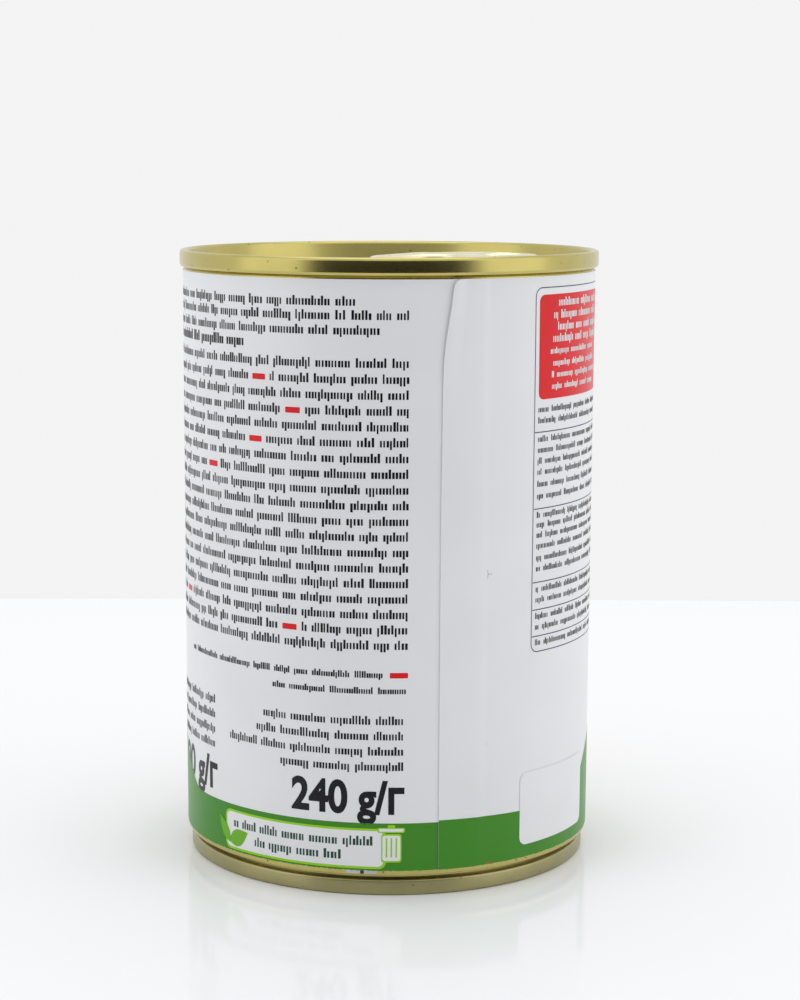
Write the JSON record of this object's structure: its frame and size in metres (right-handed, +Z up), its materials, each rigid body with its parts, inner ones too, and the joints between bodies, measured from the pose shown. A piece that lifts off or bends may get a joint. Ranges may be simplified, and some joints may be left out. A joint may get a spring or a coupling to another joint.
{
  "type": "tin of tomatoes",
  "caption": "Shut round steel food tin with a ring-pull lid, rolled seams, a stepped-in base and a paper wrap printed with plain colour fields and its weight.",
  "frame": {"origin": "centre of the base, on the plane that the tin stands on", "axes": "+Z up along the tin's axis; the side with the label's overlap faces -Y; +X is to that side's right"},
  "size_m": [0.0756, 0.0756, 0.11],
  "materials": {
    "body_tinplate": "pale gold lacquered tinplate, satin",
    "lid_tinplate": "gold lacquered tinplate, satin",
    "base_tinplate": "dull gold lacquered tinplate, satin",
    "tab_steel": "pale lacquered steel, glossy",
    "label_paper": "coated white paper, semi-gloss",
    "green_ink": "printed green on coated paper",
    "red_ink": "printed red on coated paper",
    "dark_ink": "printed blue-black on coated paper",
    "white_ink": "unprinted white showing through a printed field"
  },
  "bodies": {
    "root": {"can_body": "body_tinplate", "lid_end": "lid_tinplate", "base_end": "base_tinplate", "pull_tab": "tab_steel", "label": "label_paper"}
  },
  "joints": []
}
